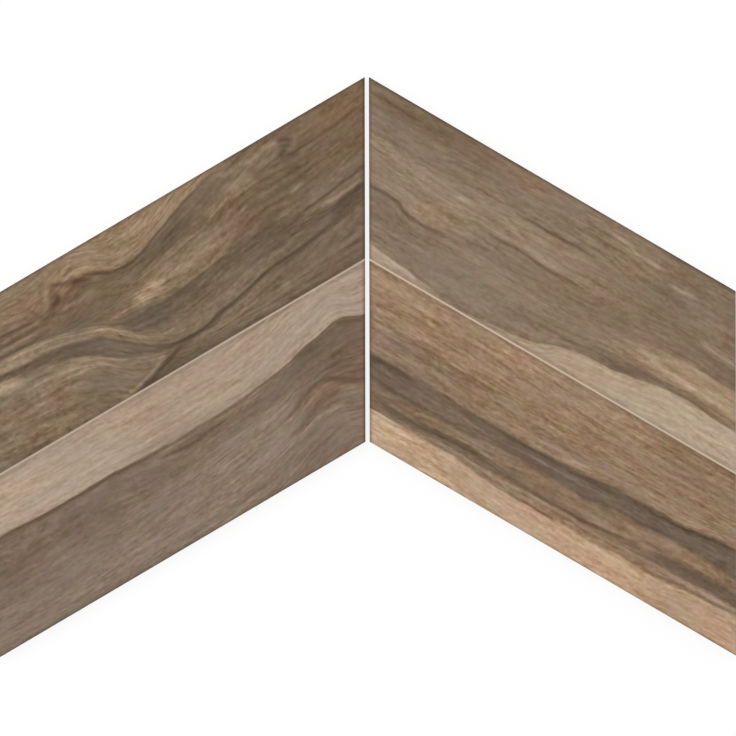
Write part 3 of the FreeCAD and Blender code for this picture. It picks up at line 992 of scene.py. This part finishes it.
def paint_edge_shade(tree, plank, colour, edges, rim):
    """Paint shade onto the print beside the long edge, the joint and the score, and draw the score's pale
    line.
    """
    rim_distance, score_distance, joint_distance = tree.split(edges)
    # The first three rows paint shade beside an edge; the last draws the score's pale line.
    for distance, (start, reach), strength, shade_tone in (
            (rim_distance, LONG_EDGE_SHADE, plank.rim_dark, PAINTED_SHADE_TONE),
            (joint_distance, JOINT_EDGE_SHADE, JOINT_DARK, PAINTED_SHADE_TONE),
            (score_distance, SCORE_EDGE_SHADE, SCORE_DARK, PAINTED_SHADE_TONE),
            (score_distance, SCORE_LINE, LINE_COVER, (plank.line_light, 1.0))):
        shade = tree.group(rim, Distance=distance, Start=start, Reach=reach)
        colour = tree.mix(tree.math("MULTIPLY", shade, strength), colour, tone(*shade_tone))
    return colour


def fired_body():
    """Make the bare porcelain of the ends, edges and back: pale, with a fine fired speckle."""
    clear_tone, cloudy_tone, speck_tone = tone(76, 0.85), tone(70, 0.75), tone(54, 0.5)
    cloud_noise, speck_noise = (60.0, 4.0), (1500.0, 2.0)
    speck_cover, smoothest, roughest = 0.5, 0.75, 0.9
    bump, bump_height = 0.3, 0.1
    material, tree, shader = new_material("fired_body")
    place = tree.add("ShaderNodeTexCoord").outputs["Object"]
    cloud, speck = (
        tree.add("ShaderNodeTexNoise", {"Vector": place, "Scale": scale, "Detail": detail}).outputs[0]
        for scale, detail in (cloud_noise, speck_noise))
    colour = tree.mix(tree.remap(cloud, 0.3, 0.7), clear_tone, cloudy_tone)
    colour = tree.mix(tree.remap(speck, 0.58, 0.72, 0.0, speck_cover), colour, speck_tone)
    tree.feed(shader.inputs["Base Color"], colour)
    tree.feed(shader.inputs["Roughness"], tree.remap(speck, 0.3, 0.7, smoothest, roughest))
    tree.bump(shader, speck, bump, bump_height)
    return material


def press_tree():
    """Press a plate: sink the pores of the wood into its face and the keying cells into its back."""
    group, given, result = new_group(
        "press_plate", "GeometryNodeTree",
        {"Plate": "Geometry", "Relief Depth": "Float", "Pore Length": "Float", "Pore Width": "Float",
         "Pore Detail": "Float", "Seed": "Float", "Key Depth": "Float", "Body": "Material"},
        {"Plate": "Geometry"})
    tree = Tree(group)

    def field(name, kind):
        node = tree.add("GeometryNodeInputNamedAttribute", {"Name": name}, data_type=kind)
        return node.outputs["Attribute"]

    noise = tree.grain_noise(field("grain", "FLOAT_VECTOR"), given["Pore Length"], given["Pore Width"],
                             given["Pore Detail"], given["Seed"])
    pore = tree.math("MULTIPLY", tree.remap(noise, PORE_OPENS, PORE_FLOOR), field("relief", "FLOAT"))
    depth = tree.math("MULTIPLY", pore, given["Relief Depth"])
    sink = tree.add("ShaderNodeCombineXYZ", {2: tree.math("MULTIPLY", depth, -1.0)}).outputs[0]
    pressed = tree.add("GeometryNodeSetPosition", {"Geometry": given["Plate"], "Offset": sink}).outputs[0]
    keyed = tree.add("GeometryNodeExtrudeMesh", {
        "Mesh": pressed, "Selection": field("key_cell", "BOOLEAN"), "Individual": False,
        "Offset Scale": tree.math("MULTIPLY", given["Key Depth"], -1.0)}, mode="FACES").outputs[0]
    whole = tree.add("GeometryNodeRealizeInstances", {"Geometry": keyed}).outputs[0]
    bare = tree.add("GeometryNodeSetMaterial", {
        "Geometry": whole, "Selection": field("bare_body", "BOOLEAN"), "Material": given["Body"]})
    tree.feed(result["Plate"], bare.outputs[0])
    return group


def press_plate(name, node, hand, planks, prints, press, body):
    """Make one finished plate in place of its plain solid. Its pores follow the upper plank's streaks."""
    blank = add_object(name, plate_mesh(name, hand, planks))
    for material in prints:
        blank.data.materials.append(material)
    modifier = blank.modifiers.new("press", "NODES")
    modifier.node_group = press
    pore_length, pore_width, pore_detail, _ = GRAIN_LAYERS[1]
    values = {"Relief Depth": RELIEF_DEPTH * MM, "Pore Length": pore_length, "Pore Width": pore_width,
              "Pore Detail": pore_detail, "Seed": planks[0].seed + LAYER_SHIFT,
              "Key Depth": KEY_DEPTH * MM, "Body": body}
    for item in press.interface.items_tree:
        if item.in_out == "INPUT" and item.name in values:
            modifier[item.identifier] = values[item.name]
    pressed = blank.evaluated_get(bpy.context.evaluated_depsgraph_get())
    finished = bpy.data.meshes.new_from_object(pressed)
    blank.modifiers.remove(modifier)
    plain = blank.data
    blank.data = finished
    bpy.data.meshes.remove(plain)
    finished.name = name
    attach(blank, "root")
    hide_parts(node)


def lay_floor():
    """Lay a sheet of white paper that keeps the tile's faint shadow."""
    reach, clearance = 4.0, 0.00005
    grey, glow = 0.15, 0.86
    sheet = bpy.data.meshes.new("floor")
    corners = [(-reach, -reach, 0), (reach, -reach, 0), (reach, reach, 0), (-reach, reach, 0)]
    sheet.from_pydata(corners, [], [(0, 1, 2, 3)])
    floor = add_object("floor", sheet)
    floor.location.z = -clearance
    paper, tree, shader = new_material("studio_paper")
    for name, value in (("Base Color", (grey, grey, grey, 1)), ("Roughness", 1.0),
                        ("Specular IOR Level", 0.0), ("Emission Color", (1, 1, 1, 1))):
        shader.inputs[name].default_value = value
    tree.feed(shader.inputs["Emission Strength"], tree.math("MULTIPLY", tree.looked_at(), glow))
    sheet.materials.append(paper)


def light_studio():
    """Light the tile evenly from all round, with one large soft box from the upper left."""
    lighting, white = 0.72, 1.0
    box_size, box_power, box_place = 2.0, 22.0, (-0.9, 0.9, 2.2)
    world = bpy.data.worlds.new("studio")
    bpy.context.scene.world = world
    world.use_nodes = True
    tree = Tree(world.node_tree)
    sky = tree.nodes["Background"]
    sky.inputs["Color"].default_value = (1, 1, 1, 1)
    strength = tree.remap(tree.looked_at(), 0.0, 1.0, lighting, white, smooth=False)
    tree.feed(sky.inputs["Strength"], strength)
    lamp = bpy.data.lights.new("soft_box", "AREA")
    lamp.shape, lamp.size, lamp.energy = "SQUARE", box_size, box_power
    box = add_object("soft_box", lamp)
    box.location = box_place
    box.rotation_euler = (-box.location).to_track_quat("-Z", "Y").to_euler()


def set_camera():
    """Set the camera straight above the tile. The photo's frame and its small offsets are in pixels."""
    frame_pixels, tile_pixels = 736.0, 737.4
    offset_right, offset_up, roll = 0.6, -1.15, math.radians(-0.12)
    camera = bpy.data.cameras.new("camera")
    camera.lens, camera.sensor_width = 100.0, 36.0
    pixel = (2 * (RUN + HALF_GAP)) / tile_pixels * MM
    distance = frame_pixels * pixel * camera.lens / camera.sensor_width
    eye = add_object("camera", camera)
    eye.location = (offset_right * pixel, offset_up * pixel, THICKNESS * MM + distance)
    eye.rotation_euler.z = roll
    bpy.context.scene.camera = eye


def main():
    """Print and press both plates, and set them in the studio."""
    streaks, rim = grain_streaks_group(), painted_shade_group()
    prints = [[wood_print(plank, streaks, rim) for plank in planks] for _, _, _, planks in PLATES]
    body = fired_body()
    press = press_tree()
    for (name, node, hand, planks), plate_prints in zip(PLATES, prints):
        press_plate(name, node, hand, planks, plate_prints, press, body)
    bpy.context.scene.view_settings.view_transform = "Standard"
    lay_floor()
    light_studio()
    set_camera()


main()
